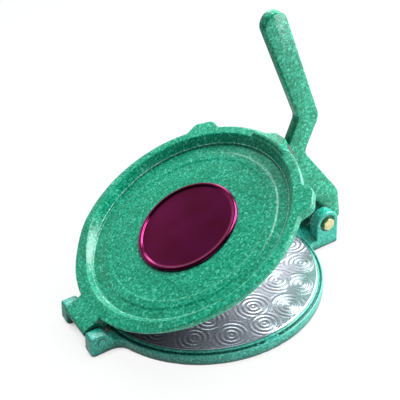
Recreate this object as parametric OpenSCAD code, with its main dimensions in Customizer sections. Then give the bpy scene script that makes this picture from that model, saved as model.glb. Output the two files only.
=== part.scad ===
// Hand-lever roti press: two hinged iron castings, bright press plates and a clevis lever.
// Millimetres, +Z up. The origin is the centre of the base disc on the table top,
// the hinge lies towards -X and the lever towards +X.
// The lid's pieces are drawn shut and then swung open about the hinge axis.

/* [Base casting] */
// Radius of the base flange
flange_r = 106; // [92:0.5:125]
// Height of the flange above the table
flange_h = 9.3; // [8:0.1:12]
// Width of the skirt that stands on the table
skirt_w = 6; // [4:0.5:10]
// Thickness of the bed over the hollow underside
bed_t = 4.8; // [4:0.1:6]
// How far the bed stands above the flange
bed_rise = 1.6; // [0.8:0.1:3]
// Width of the flange outside the drain groove
flange_lip = 1.9; // [1.2:0.1:4]
// Width of the groove round the bed
groove_w = 1.7; // [1:0.1:3]
// Depth of the groove below the flange
groove_depth = 2; // [0.5:0.1:3]
// Rounding of the casting's edges
cast_edge = 1.2; // [0.4:0.1:1.6]
// Number of ribs under the bed
rib_count = 8; // [4:1:12]
// Thickness of a rib
rib_t = 4; // [2.5:0.5:6]
// Gap between a rib's foot and the table
rib_lift = 1.5; // [0.5:0.1:3]
// Inner radius of the ring that the ribs run into
hub_r = 13; // [10:0.5:18]

/* [Hinge] */
// Distance of the hinge axis outside the flange
hinge_reach = 11.5; // [10:0.1:16]
// Height of the hinge axis above the table
hinge_z = 12; // [10:0.1:15]
// Diameter of the hinge pin
pin_d = 6; // [5:0.1:8]
// How far each pin end stands out of its knuckle
pin_proud = 0.5; // [0.2:0.1:2]
// Radius of the lid's hinge barrel
barrel_r = 7.8; // [6:0.1:9]
// Width of the lid's hinge tongue
tongue_w = 36.6; // [28:0.2:44]
// Step from the rim down to the top of the tongue
tongue_drop = 3; // [2:0.1:4]
// Side gap between the tongue and a knuckle
tongue_gap = 0.9; // [0.5:0.1:2]
// Thickness of a knuckle
knuckle_t = 11.4; // [8:0.2:15]
// Reach of a knuckle behind the hinge axis
knuckle_back = 9.3; // [8.5:0.1:12]
// Reach of a knuckle's top in front of the hinge axis
knuckle_front = 4; // [3:0.1:5]
// How much farther back a knuckle stands at its foot
knuckle_lean = 2.2; // [0:0.1:4]
// Height of a knuckle's top above the hinge axis
knuckle_over = 6.9; // [5.5:0.1:9]
// Radius of the web between a knuckle and the flange
knuckle_web_r = 12; // [6:0.5:16]

/* [Press plates] */
// Bare width of the bed outside the plate
plate_margin = 1.7; // [0.8:0.1:4]
// Thickness of a press plate
plate_t = 1.2; // [0.8:0.1:2]
// Gap between the plates when the lid is shut
dough_gap = 0.5; // [0.4:0.1:2]
// Diameter of the lower plate's stud
lower_stud_d = 5; // [4:0.5:6]
// Across flats of the lower plate's nut
lower_nut_af = 8; // [7.5:0.5:10]
// Thickness of the lower plate's nut
lower_nut_h = 3.2; // [2.4:0.1:3.6]
// Diameter of the washer on the lower stud
washer_d = 14; // [12:0.5:18]
// Thickness of the washer on the lower stud
washer_t = 1; // [0.6:0.1:1.2]
// Diameter of the upper plate's stud
upper_stud_d = 4; // [3:0.5:5]
// Diameter of the push nut on the upper stud
push_nut_d = 12; // [10:0.5:16]
// Height of the push nut
push_nut_h = 1.3; // [1:0.1:1.5]
// Radial slack round a stud
stud_slack = 0.25; // [0.1:0.05:0.5]

/* [Lid casting] */
// How far the lid's rim stands outside the flange
lid_overhang = 1.9; // [0:0.1:4]
// Thickness of the lid's floor
lid_floor_t = 3.4; // [3:0.1:5]
// Depth of the tray below the rim
tray_depth = 9; // [7.5:0.1:12]
// Width of the flat rim
rim_w = 8.8; // [7:0.1:11]
// Run of the tray's sloping wall, from the rim in to its foot
wall_run = 5.8; // [3:0.1:8]
// Height of the step at the foot of that wall
foot_step = 2; // [1:0.1:3]
// Height of the lip round the rim
lip_h = 5; // [4:0.1:6.5]
// Inset of the lid's body under the lip
lip_step = 1.6; // [0.8:0.1:3]
// Further inset at the lid's lower face, the casting's draft
lid_draft = 5.1; // [1:0.1:6]
// Middle radius of the raised band on the tray's floor
band_r = 79; // [65:0.5:84]
// Width of that band
band_w = 8.8; // [5:0.1:11]
// Height of that band
band_h = 0.5; // [0.3:0.1:1]
// How far the lid stands open
lid_open = 25.85; // [10:0.05:60]

/* [Lugs and nose] */
// Angle of a finger lug from the lever side
lug_angle = 44.8; // [35:0.1:60]
// Reach of a lug outside the rim
lug_reach = 8.4; // [5:0.1:12]
// Width of a lug across its end
lug_w = 18; // [14:0.5:26]
// Spread of a lug on each side of its root
lug_flare = 10.5; // [4:0.5:16]
// Thickness of a lug
lug_t = 7; // [5:0.5:8]
// Reach of the pressing nose outside the rim
nose_reach = 5.5; // [3:0.1:6.5]
// Width of the nose across its end
nose_w = 15; // [10:0.5:24]
// Spread of the nose on each side of its root
nose_flare = 11; // [4:0.5:14]
// Fall of the nose's top towards its end
nose_fall = 2.6; // [0:0.1:4]
// Thickness of the nose at its root
nose_t = 8; // [6:0.5:9]
// Height of the hump on the rim behind the nose
hump_h = 2.4; // [1:0.1:4]
// Length of the hump along the rim
hump_w = 46; // [30:1:60]

/* [Badge] */
// Radius of the badge disc
badge_r = 47; // [35:0.5:55]
// Thickness of the badge's sheet
badge_t = 0.6; // [0.4:0.1:1]
// Width of the bead round the badge
badge_bead_w = 4; // [2.5:0.1:6]
// Height of that bead over the sheet
badge_bead_h = 1.2; // [0.8:0.1:2]
// Thickness of the foam pad
pad_t = 0.5; // [0.3:0.1:1]
// Width of the foam pad
pad_w = 26; // [15:0.5:28]

/* [Clevis and lever] */
// Distance of the lever's pivot outside the flange
pivot_reach = 18.9; // [18.2:0.1:24]
// Height of the lever's pivot above the table
pivot_z = 25; // [23.5:0.1:30]
// Radius of an ear's round top
ear_r = 12.3; // [11:0.1:15]
// Thickness of an ear
ear_t = 11.5; // [8:0.1:15]
// Side gap between the lever and a spacer
lever_gap = 0.4; // [0.3:0.1:1]
// Radius of the web between the clevis and the flange
clevis_web_r = 5; // [3:0.5:10]
// Thickness of the lever
lever_t = 10; // [8:0.5:12]
// Rounding of the lever's edges
lever_edge = 1.6; // [0.5:0.1:2]
// Width of the grip at its tip
grip_w = 22.6; // [16:0.2:24]
// Length of the grip from the elbow to the tip
grip_length = 108.8; // [80:0.2:150]
// Lean of the grip over the lid
grip_lean = 20.5; // [10:0.5:28]
// Radius of the lever's eye round the pivot
eye_r = 11.2; // [10:0.1:12]
// Length of the heel behind the pivot
heel_length = 27.8; // [22:0.2:32]
// Gap between the lever's neck and the swing of the nose
nose_clear = 0.8; // [0.4:0.1:2]

/* [Pivot bolt] */
// Diameter of the pivot bolt
bolt_d = 6.3; // [5:0.1:8]
// Across flats of the bolt's head and nut
hex_af = 11; // [10:0.5:13]
// Height of the bolt's head
head_h = 4.4; // [3:0.1:6]
// Height of the nut
nut_h = 5.2; // [4:0.1:7]
// Depth of the spot faces on the ears
spot_depth = 2; // [1:0.1:3]
// Gap between the head's corners and the spot face's wall
spot_gap = 1.8; // [1:0.1:2]
// Thickness of the spacers on both sides of the lever
spacer_t = 3.2; // [1:0.1:5]
// Diameter of those spacers
spacer_d = 14; // [11:0.5:18]
// Thickness of the lock washer
lock_t = 1.6; // [1.2:0.1:2]
// Thread that stands out of the nut
thread_proud = 1.6; // [0.5:0.1:4]

/* [Fits] */
// Radial clearance of a turning fit
running_fit = 0.08; // [0.02:0.01:0.1]
// Radial clearance of a tight fit
tight_fit = 0.01; // [0.01:0.01:0.05]

/* [Hidden] */
$fn = 96;
lathe_fn = 180;
iron_green = "#2f9f7e";
bright_steel = "#c4c8cc";
zinc_grey = "#9aa0a3";
maroon = "#6a1440";
foam_white = "#e8e6df";
yellow_zinc = "#d8c98a";

// Heights of the stack when the lid is shut
bed_z = flange_h + bed_rise;
under_z = bed_z - bed_t;
lower_face = bed_z + plate_t;
upper_face = lower_face + dough_gap;
lid_z = upper_face + plate_t;
floor_z = lid_z + lid_floor_t;
rim_z = floor_z + tray_depth;

// Radii of the two castings
bed_r = flange_r - flange_lip - groove_w;
plate_r = bed_r - plate_margin;
lid_r = flange_r + lid_overhang;
tray_r = lid_r - rim_w;
rim_low = rim_z - tongue_drop;
fall_start = 0.56 * lid_r;
fall_end = 0.79 * lid_r;

// Hinge and pivot
hinge_x = -(flange_r + hinge_reach);
pivot_x = flange_r + pivot_reach;
tongue_end = barrel_r;
knuckle_in = tongue_w / 2 + tongue_gap;
knuckle_out = knuckle_in + knuckle_t;
ear_in = lever_t / 2 + lever_gap + spacer_t;
ear_out = ear_in + ear_t;
spot_r = hex_af / 2 / cos(30) + spot_gap;
seat_y = ear_out - spot_depth;
nose_tip = lid_r + nose_reach;
nose_swing = norm([nose_tip - hinge_x, rim_z - hinge_z]);
push_seat = floor_z - push_nut_h - 0.2;
pad_in = badge_r - badge_bead_w - pad_w;
slop = 0.01;
bite = 0.06;

// Points along an arc about c, from angle a0 to angle a1
function arc(c, r, a0, a1, n = 6) =
    [for (i = [0:n]) let (a = a0 + (a1 - a0) * i / n) c + r * [cos(a), sin(a)]];

function toward(a, b) = (b - a) / norm(b - a);
function flat(p) = [p.x, p.y];

// A corner v between a and b, rounded to the radius r
function corner(a, v, b, r, n) =
    let (
        u = toward(v, a),
        w = toward(v, b),
        half = acos(u * w) / 2,
        c = v + (u + w) / norm(u + w) * r / sin(half),
        p = v + u * r / tan(half) - c,
        q = v + w * r / tan(half) - c,
        start = atan2(p.y, p.x),
        turn = atan2(q.y, q.x) - start,
        sweep = turn > 180 ? turn - 360 : turn < -180 ? turn + 360 : turn)
    r == 0 ? [v] : arc(c, r, start, start + sweep, n);

// An outline from corners written as [x, y, radius]
function rounded(corners, n = 6) =
    let (count = len(corners))
    [for (i = [0:count - 1])
        each corner(flat(corners[(i + count - 1) % count]), flat(corners[i]),
                    flat(corners[(i + 1) % count]), corners[i][2], n)];

// Extrudes an outline in X and Z sideways, centred on the XZ plane
module across(width) {
    translate([0, width / 2, 0])
    rotate([90, 0, 0])
    linear_extrude(width)
    children();
}

// Turns the +Z axis of its children to +Y
module along_y() {
    rotate([-90, 0, 0])
    children();
}

// Swings the lid's pieces open about the hinge axis
module swung_open() {
    translate([hinge_x, 0, hinge_z])
    rotate([0, -lid_open, 0])
    translate([-hinge_x, 0, -hinge_z])
    children();
}

module both_sides() {
    for (side = [0, 1])
        mirror([0, side, 0])
        children();
}

// Concave web in the corner between the flange and a straight side at y = -side_y.
// toward_x is -1 at the hinge and 1 at the clevis.
module flange_web(side_y, web_r, toward_x) {
    cy = side_y + web_r;
    cx = sqrt(pow(flange_r + web_r, 2) - pow(cy, 2));
    touch = [cx, cy] * flange_r / (flange_r + web_r);
    inside = flange_r - skirt_w / 2;
    shift = [toward_x, -1];
    difference() {
        linear_extrude(flange_h)
        polygon([for (p = [
            [cx, side_y], [cx, cy], touch, touch * inside / flange_r,
            [sqrt(pow(inside, 2) - pow(side_y - web_r, 2)), side_y - web_r], [cx, side_y - web_r]])
            [p.x * shift.x, p.y * shift.y]]);
        translate([cx * shift.x, cy * shift.y, -1])
        cylinder(r = web_r + bite, h = flange_h + 2);
    }
}

module base_disc() {
    inner = flange_r - skirt_w;
    groove_z = flange_h - groove_depth;
    rotate_extrude($fn = lathe_fn)
    polygon(concat(
        [[0, under_z], [0, bed_z]],
        arc([bed_r - cast_edge / 2, bed_z - cast_edge / 2], cast_edge / 2, 90, 0),
        [[bed_r, groove_z], [bed_r + groove_w, groove_z]],
        arc([flange_r - flange_lip + flange_lip / 3, flange_h - flange_lip / 3], flange_lip / 3, 180, 90),
        arc([flange_r - flange_lip / 2, flange_h - flange_lip / 2], flange_lip / 2, 90, 0),
        [[flange_r, 0], [inner, 0]],
        arc([inner - cast_edge, under_z - cast_edge], cast_edge, 0, 90)));
}

module base_ribs() {
    reach = bed_r - 1;
    tall = under_z - rib_lift + bed_t / 6;
    for (i = [0:rib_count - 1])
        rotate([0, 0, (i + 0.5) * 360 / rib_count])
        translate([hub_r + rib_t / 2, -rib_t / 2, rib_lift])
        cube([reach - hub_r - rib_t / 2, rib_t, tall]);
    translate([0, 0, rib_lift])
    difference() {
        cylinder(r = hub_r + rib_t, h = tall);
        translate([0, 0, -1])
        cylinder(r = hub_r, h = under_z - rib_lift + 1);
    }
}

// Keeps only what lies outside the middle of the flange's lip
module outboard() {
    difference() {
        children();
        translate([0, 0, -1])
        cylinder(r = flange_r - flange_lip / 2, h = 2 * (pivot_z + ear_r), $fn = lathe_fn);
    }
}

// Hinge knuckle, upright behind the flange, with an arm that runs into the flange
module knuckle() {
    back = hinge_x - knuckle_back;
    front = hinge_x + knuckle_front;
    foot = hinge_x + barrel_r + knuckle_front / 2;
    root = -sqrt(pow(flange_r - skirt_w, 2) - pow(knuckle_out, 2));
    top = hinge_z + knuckle_over;
    translate([0, -(knuckle_in + knuckle_out) / 2, 0])
    across(knuckle_t)
    polygon(rounded([
        [back - knuckle_lean, 0, 4], [back, top, 1.6], [front, top, 1.6], [foot, flange_h, 2],
        [root, flange_h, 0], [root, 0, 0]]));
}

// Clevis: one block with two round-topped ears, slotted for the lever
module clevis() {
    root = sqrt(pow(flange_r - skirt_w, 2) - pow(ear_out, 2));
    difference() {
        across(2 * ear_out)
        polygon(concat(
            [[root, 0], [pivot_x + ear_r, 0]],
            arc([pivot_x, pivot_z], ear_r, 0, 180, 24),
            [[pivot_x - ear_r, flange_h], [root, flange_h]]));
        translate([root - 1, -ear_in, flange_h])
        cube([2 * (pivot_x + ear_r - root), 2 * ear_in, pivot_z + ear_r]);
    }
}

module base_casting() {
    color(iron_green)
    difference() {
        union() {
            base_disc();
            base_ribs();
            outboard()
                clevis();
            both_sides() {
                outboard()
                    knuckle();
                outboard()
                    flange_web(knuckle_out, knuckle_web_r, -1);
                outboard()
                    flange_web(ear_out, clevis_web_r, 1);
            }
        }
        translate([0, 0, -1])
        cylinder(r = lower_stud_d / 2 + stud_slack, h = bed_z + 2);
        translate([hinge_x, -knuckle_out - 1, hinge_z])
        along_y()
        cylinder(d = pin_d + 2 * tight_fit, h = 2 * knuckle_out + 2);
        translate([pivot_x, -ear_out - 1, pivot_z])
        along_y()
        cylinder(d = bolt_d + 2 * tight_fit, h = 2 * ear_out + 2);
        both_sides()
            translate([pivot_x, -ear_out - 1, pivot_z])
            along_y()
            cylinder(r = spot_r, h = spot_depth + 1);
    }
}

// A press plate lying on z = 0 with a rolled edge
module press_plate() {
    roll = plate_t / 2;
    rotate_extrude($fn = lathe_fn)
    polygon(concat(
        [[0, 0]],
        arc([plate_r - roll, roll], roll, -90, 90, 8),
        [[0, plate_t]]));
}

module lower_press_plate() {
    color(bright_steel)
    translate([0, 0, bed_z])
    press_plate();
}

module lower_plate_stud() {
    end_z = under_z - washer_t - lower_nut_h - 0.6;
    color(zinc_grey)
    translate([0, 0, end_z])
    cylinder(d = lower_stud_d, h = bed_z - end_z);
}

module lower_plate_washer() {
    color(zinc_grey)
    translate([0, 0, under_z - washer_t])
    difference() {
        cylinder(d = washer_d, h = washer_t);
        translate([0, 0, -1])
        cylinder(r = lower_stud_d / 2 + stud_slack, h = washer_t + 2);
    }
}

// A chamfered hexagon nut standing on z = 0
module hex_nut(af, h, bore_r) {
    corner_r = af / 2 / cos(30);
    difference() {
        intersection() {
            cylinder(r = corner_r, h = h, $fn = 6);
            rotate_extrude()
            polygon([
                [0, 0], [af / 2, 0], [corner_r, (corner_r - af / 2) / 2],
                [corner_r, h - (corner_r - af / 2) / 2], [af / 2, h], [0, h]]);
        }
        translate([0, 0, -1])
        cylinder(r = bore_r, h = h + 2);
    }
}

module lower_plate_nut() {
    color(zinc_grey)
    translate([0, 0, under_z - washer_t - lower_nut_h])
    hex_nut(lower_nut_af, lower_nut_h, lower_stud_d / 2 + tight_fit);
}

// Turned section of the lid, from the lower face up over the rim and down into the tray
module lid_dish() {
    lip_z = rim_z - lip_h;
    body_r = lid_r - lip_step;
    edge = cast_edge;
    foot_r = tray_r - wall_run;
    band_out = band_r + band_w / 2;
    band_in = band_r - band_w / 2;
    rotate_extrude($fn = lathe_fn)
    polygon(rounded([
        [0, lid_z, 0], [body_r - lid_draft, lid_z, 0], [body_r, lip_z, 0], [lid_r, lip_z, edge / 2],
        [lid_r, rim_z, edge], [tray_r, rim_z, edge], [foot_r, floor_z + foot_step, edge / 2],
        [foot_r - foot_step / 3, floor_z, foot_step / 2], [band_out, floor_z, 0],
        [band_out - 2 * band_h, floor_z + band_h, 0], [band_in + 2 * band_h, floor_z + band_h, 0],
        [band_in, floor_z, 0], [0, floor_z, 0]]));
}

// Room over the rim's hinge side, where the rim falls to the level of the tongue
module rim_fall() {
    across(2 * lid_r + 2)
    polygon([
        [hinge_x, rim_low], [-fall_end, rim_low], [-fall_start, rim_z + slop],
        [-fall_start, rim_z + 5], [hinge_x, rim_z + 5]]);
}

// Tongue between the knuckles: a flat top flush behind the rim over a round barrel
module lid_tongue() {
    top = rim_low + bite;
    root = -(tray_r + rim_w / 3);
    across(tongue_w)
    polygon(rounded([
        [hinge_x - tongue_end, hinge_z, 0], [hinge_x - tongue_end, top, 3.4], [root, top, 0],
        [root, lid_z + slop, 0], [hinge_x + barrel_r * 0.7, hinge_z - barrel_r * 0.7, 0]]));
    translate([hinge_x, -tongue_w / 2, hinge_z])
    along_y()
    cylinder(r = barrel_r, h = tongue_w);
}

// A tab that grows out of the rim along +X, wider at its root
module rim_tab(reach, width, flare, thick, round_r) {
    root = tray_r + rim_w / 3;
    tip = lid_r + reach;
    translate([0, 0, rim_z - bite - thick])
    linear_extrude(thick)
    polygon(rounded([
        [root, -width / 2 - flare, 0], [tip, -width / 2, round_r],
        [tip, width / 2, round_r], [root, width / 2 + flare, 0]]));
}

module nose() {
    fall_from = lid_r - 1;
    intersection() {
        rim_tab(nose_reach, nose_w, nose_flare, nose_t, 3);
        across(2 * lid_r)
        polygon([
            [0, rim_z], [fall_from, rim_z], [nose_tip + slop, rim_z - nose_fall],
            [nose_tip + slop, lid_z], [0, lid_z]]);
    }
}

// Hump on the rim behind the nose, where the lever's heel bears
module press_hump() {
    top = rim_z + hump_h;
    slope = wall_run / (tray_depth - foot_step);
    intersection() {
        rotate_extrude($fn = lathe_fn)
        polygon(rounded([
            [tray_r + 1.5, rim_z - 2, 0], [lid_r - 1, rim_z - 2, 0], [lid_r - 1, rim_z - 0.4, 0],
            [lid_r - 3, top, 1.2], [tray_r + hump_h * slope + 0.6, top, 1.2],
            [tray_r + 0.6, rim_z - 0.4, 0]]));
        translate([0, 0, rim_z])
        rotate([90, 0, 90])
        linear_extrude(lid_r)
        polygon(rounded([
            [-hump_w / 2 - 3, -3, 0], [hump_w / 2 + 3, -3, 0], [hump_w / 2 - hump_h, hump_h + 0.8, 0],
            [-hump_w / 2 + hump_h, hump_h + 0.8, 0]]));
    }
}

module lid_casting() {
    color(iron_green)
    swung_open()
    difference() {
        union() {
            difference() {
                union() {
                    lid_dish();
                    press_hump();
                }
                rim_fall();
            }
            lid_tongue();
            nose();
            for (side = [-1, 1])
                rotate([0, 0, side * lug_angle])
                rim_tab(lug_reach, lug_w, lug_flare, lug_t, 7);
        }
        translate([0, 0, lid_z - 1])
        cylinder(r = upper_stud_d / 2 + stud_slack, h = lid_floor_t + 2);
        translate([0, 0, push_seat])
        cylinder(d = push_nut_d + 1, h = lid_floor_t);
        translate([hinge_x, -tongue_w / 2 - 1, hinge_z])
        along_y()
        cylinder(d = pin_d + 2 * running_fit, h = tongue_w + 2);
    }
}

module upper_press_plate() {
    color(bright_steel)
    swung_open()
    translate([0, 0, upper_face])
    press_plate();
}

module upper_plate_stud() {
    color(zinc_grey)
    swung_open()
    translate([0, 0, lid_z])
    cylinder(d = upper_stud_d, h = lid_floor_t - 0.1);
}

// Sprung steel cap pushed over the stud: a flat brim and a raised collar
module upper_plate_push_nut() {
    sheet = push_nut_h / 2;
    bore = upper_stud_d / 2 + tight_fit;
    color(zinc_grey)
    swung_open()
    translate([0, 0, push_seat])
    rotate_extrude()
    polygon([
        [bore, 0], [push_nut_d / 2, 0], [push_nut_d / 2, sheet],
        [bore + sheet * 2, sheet], [bore + sheet, push_nut_h], [bore, push_nut_h]]);
}

module badge_pad() {
    color(foam_white)
    swung_open()
    translate([0, 0, floor_z])
    difference() {
        cylinder(r = pad_in + pad_w, h = pad_t);
        translate([0, 0, -1])
        cylinder(r = pad_in, h = pad_t + 2);
    }
}

// Thin cap with a rolled bead round it, stuck down on the pad
module badge_disc() {
    bead_mid = badge_r - badge_bead_w / 2;
    bead_rise = badge_bead_h + badge_t;
    color(maroon)
    swung_open()
    translate([0, 0, floor_z + pad_t])
    rotate_extrude($fn = lathe_fn)
    polygon(concat(
        [[0, 0], [badge_r, 0]],
        [for (i = [0:8]) let (a = i * 180 / 8)
            [bead_mid + badge_bead_w / 2 * cos(a), badge_t / 2 + (bead_rise - badge_t / 2) * sin(a)]],
        [[bead_mid - badge_bead_w / 2, badge_t], [0, badge_t]]));
}

module hinge_pin() {
    length = 2 * (knuckle_out + pin_proud);
    chamfer = pin_proud;
    color(iron_green)
    translate([hinge_x, -length / 2, hinge_z])
    along_y()
    rotate_extrude()
    polygon([
        [0, 0], [pin_d / 2 - chamfer, 0], [pin_d / 2, chamfer],
        [pin_d / 2, length - chamfer], [pin_d / 2 - chamfer, length], [0, length]]);
}

// Corners of the lever's outline about its pivot, each with its rounding
elbow_front = [-23.2, 111.5];
elbow_back = [-0.8, 107.6];
neck_front = [-41.6, 72.4];
neck_back = [-16.4, 75.4];
shoulder = [24.1, 21.3];
eye_top = [2.2, 12];
grip_dir = [-sin(grip_lean), cos(grip_lean)];
grip_side = [grip_dir.y, -grip_dir.x];
grip_end = (elbow_front + elbow_back) / 2 + grip_dir * grip_length;
tip_front = grip_end - grip_side * grip_w / 2;
tip_back = grip_end + grip_side * grip_w / 2;

function with_round(p, r) = [p.x, p.y, r];

// The outline with every corner moved inwards by the distance d
function inset(corners, d) =
    let (count = len(corners))
    [for (i = [0:count - 1])
        let (
            a = flat(corners[(i + count - 1) % count]),
            v = flat(corners[i]),
            b = flat(corners[(i + 1) % count]),
            u = toward(a, v),
            w = toward(v, b),
            nu = [u.y, -u.x],
            nw = [w.y, -w.x],
            side = u.x * w.y - u.y * w.x,
            r = corners[i][2])
        with_round(v + (nu + nw) * d / (1 + nu * nw), side < 0 ? max(r - d, 0.2) : r + d)];

lever_corners = [
    with_round(tip_front, grip_w / 2 - 0.1), with_round(tip_back, grip_w / 2 - 0.1),
    with_round(elbow_back, 12), with_round(neck_back, 9), with_round(shoulder, 20),
    [heel_length, -eye_r, 4.5], [0, -eye_r, 0.5], [-eye_r, 0, 8],
    with_round(eye_top, 2), with_round(neck_front, 10), with_round(elbow_front, 9)];

// Points on each rounded corner of the lever
arc_n = 6;
per = arc_n + 1;
function span(k) = [for (i = [0:arc_n]) k * per + i];
function bend(a, b) = [for (i = [0:arc_n - 1])
    [a * per + arc_n - i, b * per + i, b * per + i + 1, a * per + arc_n - i - 1]];

// The lever's flat face in convex pieces: grip, elbow, neck, bend, arm and foot
lever_face = concat(
    [concat([10 * per + arc_n], span(0), span(1), [2 * per])],
    bend(10, 2),
    [[10 * per, 2 * per + arc_n, 3 * per, 9 * per + arc_n]],
    bend(9, 3),
    [concat([9 * per, 3 * per + arc_n], span(4), [8 * per + arc_n])],
    [concat([4 * per + arc_n], span(5), span(6), span(7), span(8))]);

function backwards(list) = [for (i = [0:len(list) - 1]) list[len(list) - 1 - i]];

// A plate with rounded edges, skinned through outlines that draw in towards both faces
module rounded_plate(corners, face, thick, edge) {
    steps = 3;
    half = thick / 2;
    levels = concat(
        [for (i = [0:steps]) let (a = 90 * i / steps) [-half + edge - edge * cos(a), edge - edge * sin(a)]],
        [for (i = [0:steps]) let (a = 90 * i / steps) [half - edge + edge * sin(a), edge - edge * cos(a)]]);
    rings = [for (l = levels) [for (p = rounded(inset(corners, l[1]), arc_n)) [p.x, l[0], p.y]]];
    count = len(rings[0]);
    last = len(rings) - 1;
    polyhedron(
        points = [for (r = rings) each r],
        faces = concat(
            face,
            [for (k = [0:last - 1], i = [0:count - 1])
                let (j = (i + 1) % count)
                [k * count + j, k * count + i, (k + 1) * count + i, (k + 1) * count + j]],
            [for (piece = face) backwards([for (i = piece) last * count + i])]));
}

module lever() {
    color(iron_green)
    difference() {
        translate([pivot_x, 0, pivot_z])
        rounded_plate(lever_corners, lever_face, lever_t, lever_edge);
        translate([hinge_x, -lever_t, hinge_z])
        along_y()
        cylinder(r = nose_swing + nose_clear, h = 2 * lever_t, $fn = 2 * lathe_fn);
        translate([pivot_x, -lever_t, pivot_z])
        along_y()
        cylinder(d = bolt_d + 2 * running_fit, h = 2 * lever_t);
    }
}

// Plain ring between the lever and an ear; side is -1 or 1
module lever_spacer(side) {
    middle = side * (ear_in - spacer_t / 2);
    color(zinc_grey)
    translate([pivot_x, middle - spacer_t / 2, pivot_z])
    along_y()
    difference() {
        cylinder(d = spacer_d, h = spacer_t);
        translate([0, 0, -1])
        cylinder(d = bolt_d + 2 * stud_slack, h = spacer_t + 2);
    }
}

module lever_spacer_near() {
    lever_spacer(-1);
}

module lever_spacer_far() {
    lever_spacer(1);
}

module pivot_bolt() {
    corner_r = hex_af / 2 / cos(30);
    shank = 2 * seat_y + lock_t + nut_h + thread_proud;
    color(yellow_zinc) {
        translate([pivot_x, -seat_y - head_h, pivot_z])
        along_y()
        rotate([0, 0, 30])
        intersection() {
            cylinder(r = corner_r, h = head_h, $fn = 6);
            rotate_extrude()
            polygon([
                [0, 0], [hex_af / 2, 0], [corner_r, (corner_r - hex_af / 2) / 2],
                [corner_r, head_h], [0, head_h]]);
        }
        translate([pivot_x, -seat_y - head_h / 2, pivot_z])
        along_y()
        cylinder(d = bolt_d, h = shank + head_h / 2);
    }
}

// Split spring washer under the nut
module pivot_lock_washer() {
    inner = bolt_d / 2 + stud_slack;
    outer = hex_af / 2;
    color(zinc_grey)
    translate([pivot_x, seat_y, pivot_z])
    along_y()
    difference() {
        cylinder(r = outer, h = lock_t);
        translate([0, 0, -1])
        cylinder(r = inner, h = lock_t + 2);
        rotate([0, 0, 20])
        translate([inner / 2, -lock_t / 4, -1])
        cube([outer, lock_t / 2, lock_t + 2]);
    }
}

module pivot_nut() {
    color(yellow_zinc)
    translate([pivot_x, seat_y + lock_t, pivot_z])
    along_y()
    rotate([0, 0, 30])
    hex_nut(hex_af, nut_h, bolt_d / 2 + tight_fit);
}

base_casting();
lower_press_plate();
lower_plate_stud();
lower_plate_washer();
lower_plate_nut();
lid_casting();
upper_press_plate();
upper_plate_stud();
upper_plate_push_nut();
badge_pad();
badge_disc();
hinge_pin();
lever();
lever_spacer_near();
lever_spacer_far();
pivot_bolt();
pivot_lock_washer();
pivot_nut();
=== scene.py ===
import math

import bpy
import numpy as np
from mathutils import Matrix, Vector


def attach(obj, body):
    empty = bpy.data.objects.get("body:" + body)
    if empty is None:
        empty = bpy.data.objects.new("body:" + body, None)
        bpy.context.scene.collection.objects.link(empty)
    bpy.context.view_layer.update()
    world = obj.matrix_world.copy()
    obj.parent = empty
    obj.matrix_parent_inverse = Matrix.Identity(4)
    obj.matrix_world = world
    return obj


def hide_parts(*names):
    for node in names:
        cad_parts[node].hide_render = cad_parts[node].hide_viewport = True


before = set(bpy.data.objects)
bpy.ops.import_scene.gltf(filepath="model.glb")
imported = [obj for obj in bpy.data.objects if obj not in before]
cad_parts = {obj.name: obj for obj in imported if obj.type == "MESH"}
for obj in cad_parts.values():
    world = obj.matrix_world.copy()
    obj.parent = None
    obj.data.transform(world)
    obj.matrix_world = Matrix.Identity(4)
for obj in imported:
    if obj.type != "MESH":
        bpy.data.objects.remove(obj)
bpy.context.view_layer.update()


# Studio: white paper under the object that runs up behind it, six soft lamps, and a camera beside the hinge.
# The ceiling and the room behind the camera are dim, and mirrored paper is dim at the back left,
# so that glossy enamel and metal have something dark to show.
MM = 0.001
WHITE = (1, 1, 1, 1)


def linear(code):
    """An sRGB hex colour as the linear RGBA that the shaders take."""
    parts = [int(code[i:i + 2], 16) / 255 for i in (1, 3, 5)]
    return [p / 12.92 if p <= 0.04045 else ((p + 0.055) / 1.055) ** 2.4 for p in parts] + [1.0]


def add(tree, kind, inputs=None, **settings):
    """Adds a node, sets its properties, and sets or links its inputs."""
    node = tree.nodes.new(kind)
    for key, value in settings.items():
        setattr(node, key, value)
    for key, value in (inputs or {}).items():
        if isinstance(value, bpy.types.NodeSocket):
            tree.links.new(value, node.inputs[key])
        else:
            node.inputs[key].default_value = value
    return node


def empty_tree(owner):
    """The node tree of a material or a world, with nothing in it."""
    owner.use_nodes = True
    owner.node_tree.nodes.clear()
    return owner.node_tree


scene = bpy.context.scene
scene.view_settings.view_transform = "Standard"

TOWARDS_SWEEP = (0.66, 0.68, -0.32)
world = bpy.data.worlds.new("white_sweep_in_dim_room")
scene.world = world
tree = empty_tree(world)
rays = add(tree, "ShaderNodeLightPath")
way = add(tree, "ShaderNodeTexCoord")
behind = add(tree, "ShaderNodeVectorMath", {0: way.outputs["Generated"], 1: TOWARDS_SWEEP},
             operation="DOT_PRODUCT")
sweep = add(tree, "ShaderNodeMapRange", {
    "Value": behind.outputs["Value"], "From Min": -0.30, "From Max": 0.35})
height = add(tree, "ShaderNodeSeparateXYZ", {0: way.outputs["Generated"]})
ceiling = add(tree, "ShaderNodeMapRange", {
    "Value": height.outputs["Z"], "From Min": 0.50, "From Max": 0.66, "To Min": 1.0, "To Max": 0.3})
paper_edge = add(tree, "ShaderNodeMath", {0: sweep.outputs[0], 1: ceiling.outputs[0]},
                 operation="MULTIPLY")
glossy = add(tree, "ShaderNodeMath", {0: rays.outputs["Is Glossy Ray"], 1: paper_edge.outputs[0]},
             operation="MULTIPLY")
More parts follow.
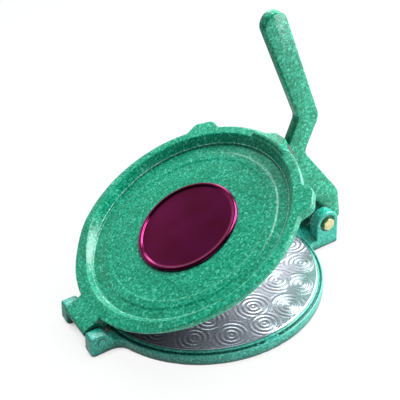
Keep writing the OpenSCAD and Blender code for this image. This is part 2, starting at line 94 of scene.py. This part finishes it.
clear = add(tree, "ShaderNodeMath", {
    0: rays.outputs["Is Camera Ray"], 1: rays.outputs["Is Transmission Ray"]}, operation="MAXIMUM")
seen = add(tree, "ShaderNodeMath", {0: clear.outputs[0], 1: glossy.outputs[0]}, operation="MAXIMUM")
room = add(tree, "ShaderNodeMapRange", {"Value": sweep.outputs[0], "To Min": 0.04, "To Max": 0.23})
lit = add(tree, "ShaderNodeBackground", {"Color": linear("#E2F2FF"), "Strength": room.outputs[0]})
white = add(tree, "ShaderNodeBackground", {"Color": WHITE, "Strength": 1.0})
both = add(tree, "ShaderNodeMixShader", {0: seen.outputs[0], 1: lit.outputs[0], 2: white.outputs[0]})
add(tree, "ShaderNodeOutputWorld", {"Surface": both.outputs[0]})

PAPER_SIZE = 6.0
PAPER_BELOW_MM = 0.2
CONTACT_SHADE_MM = 14
AWAY_FROM_DIM = (0.7, -0.7, 0.0)
bpy.ops.object.select_all(action="DESELECT")
bpy.ops.mesh.primitive_plane_add(size=PAPER_SIZE, location=(0, 0, -PAPER_BELOW_MM * MM))
floor = bpy.context.object
floor.name = "table_top"
# Matt paper that looks pure white and keeps the object's shadow. Close under the object it gets a painted
# contact shade from an occlusion test, and seen in reflections it is painted dim at the back left.
paper = bpy.data.materials.new("white_paper_sweep")
tree = empty_tree(paper)
rays = add(tree, "ShaderNodeLightPath")
under = add(tree, "ShaderNodeAmbientOcclusion", {"Distance": CONTACT_SHADE_MM * MM}, samples=6)
shaded = add(tree, "ShaderNodeMapRange", {
    "Value": under.outputs["AO"], "From Min": 0.15, "From Max": 0.5, "To Min": 0.0, "To Max": 0.93})
sheet = add(tree, "ShaderNodeVectorMath", {0: linear("#EDF1F2")[:3], "Scale": shaded.outputs[0]},
            operation="SCALE")
matte = add(tree, "ShaderNodeBsdfDiffuse", {"Color": sheet.outputs[0]})
spot = add(tree, "ShaderNodeNewGeometry")
across = add(tree, "ShaderNodeVectorMath", {0: spot.outputs["Position"], 1: AWAY_FROM_DIM},
             operation="DOT_PRODUCT")
fade = add(tree, "ShaderNodeMapRange", {
    "Value": across.outputs["Value"], "From Min": -0.20, "From Max": 0.0, "To Min": 0.9, "To Max": 0.0})
dim = add(tree, "ShaderNodeMath", {0: rays.outputs["Is Glossy Ray"], 1: fade.outputs[0]},
          operation="MULTIPLY")
level = add(tree, "ShaderNodeMath", {0: 1.0, 1: dim.outputs[0]}, operation="SUBTRACT")
glow = add(tree, "ShaderNodeEmission", {"Color": WHITE, "Strength": level.outputs[0]})
looked_at = add(tree, "ShaderNodeMath", {
    0: rays.outputs["Is Camera Ray"], 1: rays.outputs["Is Transmission Ray"]}, operation="MAXIMUM")
mirrored = add(tree, "ShaderNodeMath", {0: looked_at.outputs[0], 1: rays.outputs["Is Glossy Ray"]},
               operation="MAXIMUM")
share = add(tree, "ShaderNodeMath", {0: mirrored.outputs[0], 1: shaded.outputs[0]}, operation="MULTIPLY")
both = add(tree, "ShaderNodeMixShader", {0: share.outputs[0], 1: matte.outputs[0], 2: glow.outputs[0]})
add(tree, "ShaderNodeOutputMaterial", {"Surface": both.outputs[0]})
floor.data.materials.append(paper)

LAMP_COLOUR = linear("#F2FAFF")[:3]
for name, place, aim, size, power in (
        ("lamp_right", (0.85, 0.02, 0.78), (0.0, 0.0, 0.05), 0.7, 21.0),
        ("lamp_front", (0.50, -0.42, 0.20), (0.10, 0.0, 0.06), 0.3, 2.2),
        ("lamp_top", (0.24, 0.25, 1.08), (0.0, 0.0, 0.05), 0.6, 10.8),
        ("lamp_fill", (-0.20, -1.00, 0.30), (0.0, 0.0, 0.03), 0.8, 1.8),
        ("lamp_behind", (0.64, 1.10, 0.69), (0.0, 0.0, 0.02), 0.34, 1.6),
        ("lamp_hinge", (0.22, 1.05, 1.00), (-0.12, 0.0, 0.02), 0.28, 1.6)):
    bpy.ops.object.light_add(type="AREA", location=place)
    lamp = bpy.context.object
    lamp.name = name
    lamp.data.size = size
    lamp.data.energy = power
    lamp.data.color = LAMP_COLOUR
    lamp.rotation_euler = (Vector(aim) - Vector(place)).to_track_quat("-Z", "Y").to_euler()

SENSOR_MM = 36.0
FOCAL_PIXELS = 789.97
PHOTO_PIXELS = 400
bpy.ops.object.camera_add()
camera = bpy.context.object
camera.name = "photo_camera"
camera.data.sensor_width = SENSOR_MM
camera.data.lens = SENSOR_MM * FOCAL_PIXELS / PHOTO_PIXELS
right = Vector((0.85194, -0.52023, -0.05968))
up = Vector((0.32383, 0.43387, 0.84077))
back = Vector((-0.41150, -0.73561, 0.53810))
stand = Vector((-276.59, -494.90, 450.96)) * MM
camera.matrix_world = Matrix.Translation(stand) @ Matrix((right, up, back)).transposed().to_4x4()
scene.camera = camera


# Base casting: a grey iron disc with hinge knuckles behind and a forked clevis in front.
# It is cast in sand, so every edge and corner is soft, and it is sprayed with hammertone enamel.
JOIN_WITHIN = 0.002 * MM
MOST_TRIANGLES = 190000
CLOUD_MM = 16
EDGE_HIGHLIGHT_PALE = "#A6E8D6"
# The base's greens are the lid's enamel painted lighter and bluer, a painted lift that stands in for light on
# the base.
BASE_GREENS = ("#0E8E78", "#26A990", "#46BCA5", "#80DCCA")


def hammertone_enamel(name, grain_mm, depth, nook_mm, edge_highlight, colours):
    """Green enamel that crawls into small dimples as it dries.

    The eye gets a deep body colour under pale flecks, a painted shade in the nooks, and a painted highlight
    that makes edges pale.
    """
    material = bpy.data.materials.new(name)
    tree = empty_tree(material)
    place = add(tree, "ShaderNodeTexCoord")
    specks = add(tree, "ShaderNodeTexNoise", {
        "Vector": place.outputs["Object"], "Scale": 1 / (grain_mm * MM),
        "Detail": 2.0, "Roughness": 0.55, "Distortion": 0.6})
    clouds = add(tree, "ShaderNodeTexNoise", {
        "Vector": place.outputs["Object"], "Scale": 1 / (CLOUD_MM * MM), "Detail": 2.0})
    dimples = add(tree, "ShaderNodeTexVoronoi", {
        "Vector": place.outputs["Object"], "Scale": 1 / (1.4 * grain_mm * MM)}, feature="SMOOTH_F1")
    mixed = add(tree, "ShaderNodeMath", {0: clouds.outputs["Fac"], 1: 0.18, 2: specks.outputs["Fac"]},
                operation="MULTIPLY_ADD")
    tint = add(tree, "ShaderNodeValToRGB", {"Fac": mixed.outputs[0]})
    ramp = tint.color_ramp
    ramp.elements[0].position = 0.46
    ramp.elements[0].color = linear(colours[0])
    ramp.elements[1].position = 0.82
    ramp.elements[1].color = linear(colours[3])
    for at, colour in ((0.58, colours[1]), (0.69, colours[2])):
        ramp.elements.new(at).color = linear(colour)
    gloss = add(tree, "ShaderNodeMapRange", {
        "Value": specks.outputs["Fac"], "To Min": 0.16, "To Max": 0.32})
    height = add(tree, "ShaderNodeMath", {0: specks.outputs["Fac"], 1: 0.6, 2: dimples.outputs["Distance"]},
                 operation="MULTIPLY_ADD")
    bump = add(tree, "ShaderNodeBump", {
        "Height": height.outputs[0], "Strength": depth, "Distance": 0.3 * MM})
    form = add(tree, "ShaderNodeNewGeometry")
    # Painted highlight: sharp edges are lightened towards a pale green by their pointiness.
    edge = add(tree, "ShaderNodeMapRange", {
        "Value": form.outputs["Pointiness"], "From Min": 0.52, "From Max": 0.60,
        "To Min": 0.0, "To Max": edge_highlight})
    painted_edge_highlight = add(tree, "ShaderNodeMix", {
        0: edge.outputs[0], 6: tint.outputs["Color"], 7: linear(EDGE_HIGHLIGHT_PALE)}, data_type="RGBA")
    # Painted shade: the colour darkens where an occlusion test finds faces close by.
    nook = add(tree, "ShaderNodeAmbientOcclusion", {"Distance": nook_mm * MM}, samples=6)
    painted_nook_shade = add(tree, "ShaderNodeMapRange", {
        "Value": nook.outputs["AO"], "From Min": 0.35, "From Max": 0.88, "To Min": 0.12, "To Max": 1.0})
    painted_shade_colour = add(tree, "ShaderNodeVectorMath", {0: painted_edge_highlight.outputs[2], "Scale": painted_nook_shade.outputs[0]},
               operation="SCALE")
    shader = add(tree, "ShaderNodeBsdfPrincipled", {
        "Base Color": painted_shade_colour.outputs[0], "Roughness": gloss.outputs[0], "Normal": bump.outputs[0],
        "IOR": 1.5})
    add(tree, "ShaderNodeOutputMaterial", {"Surface": shader.outputs[0]})
    return material


def merged_copy(cad_node, name):
    """A copy of a CAD node's mesh whose loose triangles are joined up, selected and active."""
    bpy.ops.object.select_all(action="DESELECT")
    piece = bpy.data.objects.new(name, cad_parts[cad_node].data.copy())
    scene.collection.objects.link(piece)
    bpy.context.view_layer.objects.active = piece
    piece.select_set(True)
    bpy.ops.object.mode_set(mode="EDIT")
    bpy.ops.mesh.select_all(action="SELECT")
    bpy.ops.mesh.customdata_custom_splitnormals_clear()
    bpy.ops.mesh.remove_doubles(threshold=JOIN_WITHIN)
    bpy.ops.object.mode_set(mode="OBJECT")
    return piece


def sand_cast(piece, grid_mm, rubs, most_triangles=MOST_TRIANGLES):
    """Rounds every edge and fills every inner corner a little, as a sand mould and a fettling wheel do."""
    mould = piece.modifiers.new("sand_mould", "REMESH")
    mould.mode = "VOXEL"
    mould.voxel_size = grid_mm * MM
    mould.use_smooth_shade = True
    bpy.ops.object.modifier_apply(modifier="sand_mould")
    wheel = piece.modifiers.new("fettling_wheel", "SMOOTH")
    wheel.factor = 0.5
    wheel.iterations = rubs
    bpy.ops.object.modifier_apply(modifier="fettling_wheel")
    triangles = sum(len(face.vertices) - 2 for face in piece.data.polygons)
    if triangles > most_triangles:
        thin = piece.modifiers.new("flat_areas_thinned", "DECIMATE")
        thin.ratio = most_triangles / triangles
        bpy.ops.object.modifier_apply(modifier="flat_areas_thinned")


def hand_over(piece, material, body, slot, *cad_nodes):
    """Gives a finished piece its material and its body, and hides the CAD nodes that it stands for. The slot
    is not used.
    """
    piece.data.materials.clear()
    piece.data.materials.append(material)
    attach(piece, body)
    if cad_nodes:
        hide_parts(*cad_nodes)


base_enamel = hammertone_enamel("green_base_enamel", grain_mm=1.8, depth=0.3, nook_mm=10, edge_highlight=0.6,
                                colours=BASE_GREENS)
base = merged_copy("base_casting", "base_casting_enamelled")
sand_cast(base, grid_mm=0.75, rubs=3)
bpy.ops.object.shade_smooth()
hand_over(base, base_enamel, "base", "green_enamel", "base_casting")


# Lower plate's fixing: a steel stud spot-welded under the plate, with a washer and a nut below the bed.
# All three are zinc plated, which leaves a fine grey bloom over the turned metal.
def plated_steel(name, light, dark, bloom_mm, rough):
    """Plated steel: a metal whose bloom shows as soft cloudy patches, a little rougher where it is darker."""
    material = bpy.data.materials.new(name)
    tree = empty_tree(material)
    place = add(tree, "ShaderNodeTexCoord")
    bloom = add(tree, "ShaderNodeTexNoise", {
        "Vector": place.outputs["Object"], "Scale": 1 / (bloom_mm * MM), "Detail": 3.0})
    tint = add(tree, "ShaderNodeValToRGB", {"Fac": bloom.outputs["Fac"]})
    for stop, at, colour in zip(tint.color_ramp.elements, (0.35, 0.65), (dark, light)):
        stop.position = at
        stop.color = linear(colour)
    gloss = add(tree, "ShaderNodeMapRange", {
        "Value": bloom.outputs["Fac"], "From Min": 0.3, "From Max": 0.7,
        "To Min": rough + 0.12, "To Max": rough})
    bump = add(tree, "ShaderNodeBump", {
        "Height": bloom.outputs["Fac"], "Strength": 0.15, "Distance": 0.05 * MM})
    shader = add(tree, "ShaderNodeBsdfPrincipled", {
        "Base Color": tint.outputs["Color"], "Metallic": 1.0, "Roughness": gloss.outputs[0],
        "Normal": bump.outputs[0]})
    add(tree, "ShaderNodeOutputMaterial", {"Surface": shader.outputs[0]})
    return material


def broken_edges(cad_node, name, width_mm, material, body, slot):
    """A small fitting from its CAD node, with the burr taken off its sharp edges."""
    piece = merged_copy(cad_node, name)
    bpy.ops.object.mode_set(mode="EDIT")
    bpy.ops.mesh.select_mode(type="EDGE")
    bpy.ops.mesh.select_all(action="SELECT")
    bpy.ops.mesh.dissolve_limited(angle_limit=math.radians(0.5))
    bpy.ops.mesh.select_all(action="DESELECT")
    bpy.ops.mesh.edges_select_sharp(sharpness=math.radians(32))
    bpy.ops.mesh.bevel(offset=width_mm * MM, segments=2, affect="EDGES", clamp_overlap=True)
    bpy.ops.object.mode_set(mode="OBJECT")
    bpy.ops.object.shade_smooth_by_angle(angle=math.radians(35))
    hand_over(piece, material, body, slot, cad_node)


zinc = plated_steel("zinc_plated_steel", light="#C3C8CB", dark="#9DA4A8", bloom_mm=2.2, rough=0.26)
broken_edges("lower_plate_stud", "lower_stud_plated", 0.3, zinc, "base", "zinc_steel")
broken_edges("lower_plate_washer", "lower_washer_plated", 0.15, zinc, "base", "zinc_steel")
broken_edges("lower_plate_nut", "lower_nut_plated", 0.2, zinc, "base", "zinc_steel")


# Lower press plate: a disc of bright steel sheet, coined all over with rosettes of round ridges
# so that the dough doesn't slip, with its edge rolled smooth.
def turned(name, outline, turns):
    """A piece turned on the Z axis: an outline of (radius, height) in mm, drawn point by point and spun."""
    bpy.ops.object.select_all(action="DESELECT")
    bpy.ops.mesh.primitive_plane_add(size=MM, location=(0, 0, 0))
    piece = bpy.context.object
    piece.name = name
    bpy.ops.object.mode_set(mode="EDIT")
    bpy.ops.mesh.select_mode(type="VERT")
    bpy.ops.mesh.select_all(action="SELECT")
    bpy.ops.mesh.merge(type="CENTER")
    bpy.ops.transform.translate(value=(outline[0][0] * MM, 0, outline[0][1] * MM))
    for (r0, z0), (r1, z1) in zip(outline, outline[1:]):
        step = ((r1 - r0) * MM, 0, (z1 - z0) * MM)
        bpy.ops.mesh.extrude_region_move(TRANSFORM_OT_translate={"value": step})
    bpy.ops.mesh.select_all(action="SELECT")
    bpy.ops.mesh.spin(steps=turns, angle=2 * math.pi, center=(0, 0, 0), axis=(0, 0, 1))
    bpy.ops.mesh.select_all(action="SELECT")
    bpy.ops.mesh.remove_doubles(threshold=JOIN_WITHIN)
    bpy.ops.mesh.normals_make_consistent(inside=False)
    bpy.ops.object.mode_set(mode="OBJECT")
    return piece


def rosette_ring(count, radius, first_deg):
    """Centres of rosettes spaced evenly round a ring, in mm."""
    return [(radius * math.cos(math.radians(first_deg + 360 * k / count)),
             radius * math.sin(math.radians(first_deg + 360 * k / count))) for k in range(count)]


PLATE_TOP = 12.1
PLATE_UNDER = 10.9
FACE_RADIUS = 98.25
FACE_STEPS = 131
RIDGE_PITCH = 4.2
RIDGE_HEIGHT = 0.14
ROSETTE_RADIUS = 21.0
ROSETTE_FADE = 9.0
ROSETTES = np.array([(0.0, 0.0)] + rosette_ring(count=6, radius=40, first_deg=12)
                    + rosette_ring(count=10, radius=66, first_deg=-47)
                    + rosette_ring(count=18, radius=88, first_deg=-27.5))


def coined(piece):
    """Raises the ridges of the rosettes in the top face; the nearest rosette has each point."""
    points = np.empty(3 * len(piece.data.vertices))
    piece.data.vertices.foreach_get("co", points)
    points = points.reshape(-1, 3) / MM
    face = (points[:, 2] > PLATE_TOP - 0.01) & (np.hypot(points[:, 0], points[:, 1]) < FACE_RADIUS + 0.05)
    spots = points[face]
    away = np.sqrt(((spots[:, None, :2] - ROSETTES[None]) ** 2).sum(2)).min(1)
    fade = np.clip((ROSETTE_RADIUS - away) / ROSETTE_FADE, 0, 1)
    spots[:, 2] += RIDGE_HEIGHT * np.cos(2 * np.pi * away / RIDGE_PITCH) * fade * fade * (3 - 2 * fade)
    points[face] = spots
    piece.data.vertices.foreach_set("co", (points * MM).ravel())
    piece.data.update()


def bright_sheet(name, dark, light, rough):
    """Cold-rolled bright sheet: a clear mirror with soft clouds and hairlines left by the rolls.

    Its colour carries a painted shade where another face stands close, as deep in the wedge between the
    plates.
    """
    material = bpy.data.materials.new(name)
    tree = empty_tree(material)
    place = add(tree, "ShaderNodeTexCoord")
    clouds = add(tree, "ShaderNodeTexNoise", {
        "Vector": place.outputs["Object"], "Scale": 1 / (28 * MM), "Detail": 2.0})
    rolled = add(tree, "ShaderNodeMapping", {"Vector": place.outputs["Object"], "Scale": (0.06, 1.0, 1.0)})
    hairs = add(tree, "ShaderNodeTexNoise", {
        "Vector": rolled.outputs[0], "Scale": 1 / (0.9 * MM), "Detail": 2.0})
    tint = add(tree, "ShaderNodeValToRGB", {"Fac": clouds.outputs["Fac"]})
    for stop, at, colour in zip(tint.color_ramp.elements, (0.3, 0.7), (dark, light)):
        stop.position = at
        stop.color = linear(colour)
    gloss = add(tree, "ShaderNodeMapRange", {
        "Value": hairs.outputs["Fac"], "To Min": rough, "To Max": rough + 0.1})
    bump = add(tree, "ShaderNodeBump", {
        "Height": hairs.outputs["Fac"], "Strength": 0.04, "Distance": 0.02 * MM})
    # Painted shade: the metal's colour darkens where an occlusion test finds faces close by.
    gap = add(tree, "ShaderNodeAmbientOcclusion", {"Distance": 70 * MM}, samples=6)
    shade = add(tree, "ShaderNodeMapRange", {
        "Value": gap.outputs["AO"], "From Min": 0.2, "From Max": 0.75, "To Min": 0.12, "To Max": 1.0})
    painted_shade_colour = add(tree, "ShaderNodeVectorMath", {0: tint.outputs["Color"], "Scale": shade.outputs[0]},
               operation="SCALE")
    shader = add(tree, "ShaderNodeBsdfPrincipled", {
        "Base Color": painted_shade_colour.outputs[0], "Metallic": 1.0, "Roughness": gloss.outputs[0],
        "Normal": bump.outputs[0]})
    add(tree, "ShaderNodeOutputMaterial", {"Surface": shader.outputs[0]})
    return material


face_line = [(FACE_RADIUS * k / FACE_STEPS, PLATE_TOP) for k in range(FACE_STEPS + 1)]
rolled_edge = [(98.9, 12.14), (99.6, 12.15), (100.2, 12.06), (100.55, 11.85), (100.69, 11.5), (100.6, 11.1),
               (100.3, PLATE_UNDER), (99.0, PLATE_UNDER), (50.0, PLATE_UNDER), (0.0, PLATE_UNDER)]
lower_plate = turned("lower_plate_coined", face_line + rolled_edge, turns=700)
coined(lower_plate)
bpy.ops.object.shade_smooth_by_angle(angle=math.radians(40))
lower_sheet = bright_sheet("bright_rolled_sheet", dark="#CBD1D9", light="#D8DDE5", rough=0.16)
hand_over(lower_plate, lower_sheet, "base", "bright_sheet", "lower_press_plate")


# Hinge pin: a plain steel rod driven through the knuckles and the lid's tongue.
# Its ends are peened over a little and painted with the base.
HINGE = [c * MM for c in (-117.5, 0.0, 12.0)]
PIN_RADIUS = 3.0 * MM
PIN_LENGTH = 61.4 * MM
PEENING_MM = ((0.5, 0.3), (0.7, 0.1), (0.9, -0.25))
bpy.ops.object.select_all(action="DESELECT")
bpy.ops.mesh.primitive_cylinder_add(vertices=48, radius=PIN_RADIUS, depth=PIN_LENGTH, location=HINGE,
                                    rotation=(math.radians(90), 0, 0))
pin = bpy.context.object
pin.name = "hinge_pin_peened"
bpy.ops.object.transform_apply(location=True, rotation=True, scale=True)
bpy.ops.object.mode_set(mode="EDIT")
bpy.ops.mesh.select_mode(type="FACE")
bpy.ops.mesh.select_all(action="DESELECT")
bpy.ops.object.mode_set(mode="OBJECT")
for face in pin.data.polygons:
    face.select = abs(face.normal.y) > 0.9
bpy.ops.object.mode_set(mode="EDIT")
for inwards, outwards in PEENING_MM:
    bpy.ops.mesh.inset(thickness=inwards * MM, depth=outwards * MM, use_individual=True)
bpy.ops.object.mode_set(mode="OBJECT")
bpy.ops.object.shade_smooth_by_angle(angle=math.radians(50))
hand_over(pin, base_enamel, "base", "painted_pin", "hinge_pin")


# Lid casting: a dished iron disc with a hinge tongue, two finger lugs, a pressing nose and a hump
# behind it, cast and enamelled like the base. A thin bead along the foot of the tray's wall
# is painted pale, a painted highlight along that edge.
LID_GREENS = ("#007A55", "#0B9B73", "#2AB089", "#70D6B8")
FOOT_HIGHLIGHT_GREENS = ("#2FA586", "#4FBB9C", "#A8E6D4", "#F0FFFA")
LID_OPEN = math.radians(25.85)
FOOT_RADIUS = 93.53
FOOT_Z = 19.0
FOOT_BEAD = 0.6


def swung_open(piece):
    """Swings a piece that was made with the lid shut up to where the lid stands."""
    bpy.context.view_layer.objects.active = piece
    bpy.ops.object.select_all(action="DESELECT")
    piece.select_set(True)
    bpy.ops.object.mode_set(mode="EDIT")
    bpy.ops.mesh.select_all(action="SELECT")
    bpy.ops.transform.rotate(value=LID_OPEN, orient_axis="Y", center_override=HINGE)
    bpy.ops.object.mode_set(mode="OBJECT")


lid_enamel = hammertone_enamel("green_hammertone_enamel", grain_mm=2.0, depth=0.5, nook_mm=36, edge_highlight=0.6,
                               colours=LID_GREENS)
lid = merged_copy("lid_casting", "lid_casting_enamelled")
sand_cast(lid, grid_mm=0.7, rubs=2, most_triangles=180000)
bpy.ops.object.shade_smooth()
hand_over(lid, lid_enamel, "lid", "green_enamel", "lid_casting")

foot_line = [(FOOT_RADIUS + FOOT_BEAD * math.cos(math.radians(a)),
              FOOT_Z + FOOT_BEAD * math.sin(math.radians(a))) for a in range(0, 361, 30)]
foot_bead = turned("tray_foot_bead", foot_line, turns=300)
swung_open(foot_bead)
bpy.ops.object.shade_smooth()
# Painted highlight: the bead's enamel is near white so that it shows as a bright line.
foot_highlight_enamel = hammertone_enamel("foot_bead_painted_highlight", grain_mm=1.6, depth=0.5, nook_mm=4, edge_highlight=0.0,
                                colours=FOOT_HIGHLIGHT_GREENS)
hand_over(foot_bead, foot_highlight_enamel, "lid", "green_enamel")


# Upper press plate: the same coined disc turned face down under the lid, held by a stud
# that a push nut grips in a pocket of the tray's floor.
UPPER_FACE = 12.6
upper_plate = bpy.data.objects.new("upper_plate_coined", lower_plate.data.copy())
scene.collection.objects.link(upper_plate)
bpy.context.view_layer.objects.active = upper_plate
bpy.ops.object.select_all(action="DESELECT")
upper_plate.select_set(True)
bpy.ops.object.mode_set(mode="EDIT")
bpy.ops.mesh.select_all(action="SELECT")
bpy.ops.transform.resize(value=(1, 1, -1), center_override=(0, 0, (PLATE_TOP + UPPER_FACE) / 2 * MM))
bpy.ops.mesh.normals_make_consistent(inside=False)
bpy.ops.object.mode_set(mode="OBJECT")
swung_open(upper_plate)
# The upper plate's steel is the lower plate's painted darker, a painted shade that deepens the wedge between
# the plates.
upper_sheet = bright_sheet("rolled_sheet_painted_darker", dark="#969BA0", light="#A4A9AE", rough=0.20)
hand_over(upper_plate, upper_sheet, "lid", "bright_sheet", "upper_press_plate")
broken_edges("upper_plate_stud", "upper_stud_plated", 0.2, zinc, "lid", "zinc_steel")
broken_edges("upper_plate_push_nut", "push_nut_plated", 0.1, zinc, "lid", "zinc_steel")


# Badge: a thin pressed disc with a rounded bead, lacquered maroon and left bare,
# stuck on a ring of white foam tape in the middle of the tray.
def foam_tape(name):
    """Closed-cell foam: matt white with a faint grain of cut cells."""
    material = bpy.data.materials.new(name)
    tree = empty_tree(material)
    place = add(tree, "ShaderNodeTexCoord")
    cells = add(tree, "ShaderNodeTexVoronoi", {"Vector": place.outputs["Object"], "Scale": 1 / (0.6 * MM)})
    tint = add(tree, "ShaderNodeValToRGB", {"Fac": cells.outputs["Distance"]})
    for stop, colour in zip(tint.color_ramp.elements, ("#DDDBD2", "#F1EFE8")):
        stop.color = linear(colour)
    bump = add(tree, "ShaderNodeBump", {
        "Height": cells.outputs["Distance"], "Strength": 0.3, "Distance": 0.1 * MM})
    shader = add(tree, "ShaderNodeBsdfPrincipled", {
        "Base Color": tint.outputs["Color"], "Roughness": 0.85, "Normal": bump.outputs[0], "IOR": 1.45})
    add(tree, "ShaderNodeOutputMaterial", {"Surface": shader.outputs[0]})
    return material


def maroon_lacquer(name):
    """Clear maroon lacquer over bright metal: a deep mirror whose reflections are all wine red."""
    material = bpy.data.materials.new(name)
    tree = empty_tree(material)
    place = add(tree, "ShaderNodeTexCoord")
    clouds = add(tree, "ShaderNodeTexNoise", {
        "Vector": place.outputs["Object"], "Scale": 1 / (30 * MM), "Detail": 1.0})
    tint = add(tree, "ShaderNodeValToRGB", {"Fac": clouds.outputs["Fac"]})
    for stop, at, colour in zip(tint.color_ramp.elements, (0.35, 0.65), ("#800F46", "#8C185A")):
        stop.position = at
        stop.color = linear(colour)
    gloss = add(tree, "ShaderNodeMapRange", {
        "Value": clouds.outputs["Fac"], "To Min": 0.06, "To Max": 0.14})
    bump = add(tree, "ShaderNodeBump", {
        "Height": clouds.outputs["Fac"], "Strength": 0.06, "Distance": 0.4 * MM})
    shader = add(tree, "ShaderNodeBsdfPrincipled", {
        "Base Color": tint.outputs["Color"], "Metallic": 1.0, "Roughness": gloss.outputs[0],
        "Normal": bump.outputs[0], "Coat Weight": 0.2, "Coat Roughness": 0.05})
    add(tree, "ShaderNodeOutputMaterial", {"Surface": shader.outputs[0]})
    return material


broken_edges("badge_pad", "badge_foam_tape", 0.1, foam_tape("white_foam_tape"), "lid", "foam")
BADGE_UNDER = 17.7
BADGE_TOP = 18.3
BEAD_RADIUS = 45.0
BEAD_HALF_WIDTH = 2.0
BEAD_RISE = 1.2
bead = [(BEAD_RADIUS - BEAD_HALF_WIDTH * math.cos(math.radians(a)),
         BADGE_TOP + BEAD_RISE * math.sin(math.radians(a))) for a in range(20, 181, 10)]
badge_face = [(0.0, BADGE_TOP), (12.0, BADGE_TOP), (24.0, BADGE_TOP), (36.0, BADGE_TOP), (41.0, BADGE_TOP),
              (42.2, BADGE_TOP + 0.04), (42.7, BADGE_TOP + 0.16)]
badge_back = [(47.0, 17.95), (46.9, BADGE_UNDER), (46.2, BADGE_UNDER), (24.0, BADGE_UNDER),
              (0.0, BADGE_UNDER)]
badge = turned("badge_disc_lacquered", badge_face + bead + badge_back, turns=192)
bpy.ops.object.shade_smooth_by_angle(angle=math.radians(45))
swung_open(badge)
hand_over(badge, maroon_lacquer("maroon_lacquered_tin"), "lid", "maroon_plastic", "badge_disc")


# Lever: a flat iron bar, cranked so that its heel bears on the lid's nose, with its edges
# ground round for the hand and the same enamel.
LEVER_GREENS = ("#007653", "#0B966F", "#28A984", "#66CDB0")
lever = merged_copy("lever", "lever_enamelled")
bpy.ops.object.shade_smooth_by_angle(angle=math.radians(50))
lever_enamel = hammertone_enamel("green_lever_enamel", grain_mm=2.0, depth=0.5, nook_mm=22, edge_highlight=0.0,
                                 colours=LEVER_GREENS)
hand_over(lever, lever_enamel, "lever", "green_enamel", "lever")


# Pivot set: a hexagon bolt through both ears, with a spacer on each side of the lever,
# a split lock washer and a nut. The bolt and nut have the pale gold of yellow zinc plate.
broken_edges("lever_spacer_near", "lever_spacer_near_plated", 0.3, zinc, "base", "zinc_steel")
broken_edges("lever_spacer_far", "lever_spacer_far_plated", 0.3, zinc, "base", "zinc_steel")
gold_zinc = plated_steel("yellow_zinc_plated_steel", light="#F0E7BE", dark="#D8CD93", bloom_mm=3.0,
                         rough=0.24)
broken_edges("pivot_bolt", "pivot_bolt_plated", 0.35, gold_zinc, "base", "yellow_zinc")
broken_edges("pivot_lock_washer", "pivot_lock_washer_plated", 0.15, zinc, "base", "zinc_steel")
broken_edges("pivot_nut", "pivot_nut_plated", 0.3, gold_zinc, "base", "yellow_zinc")
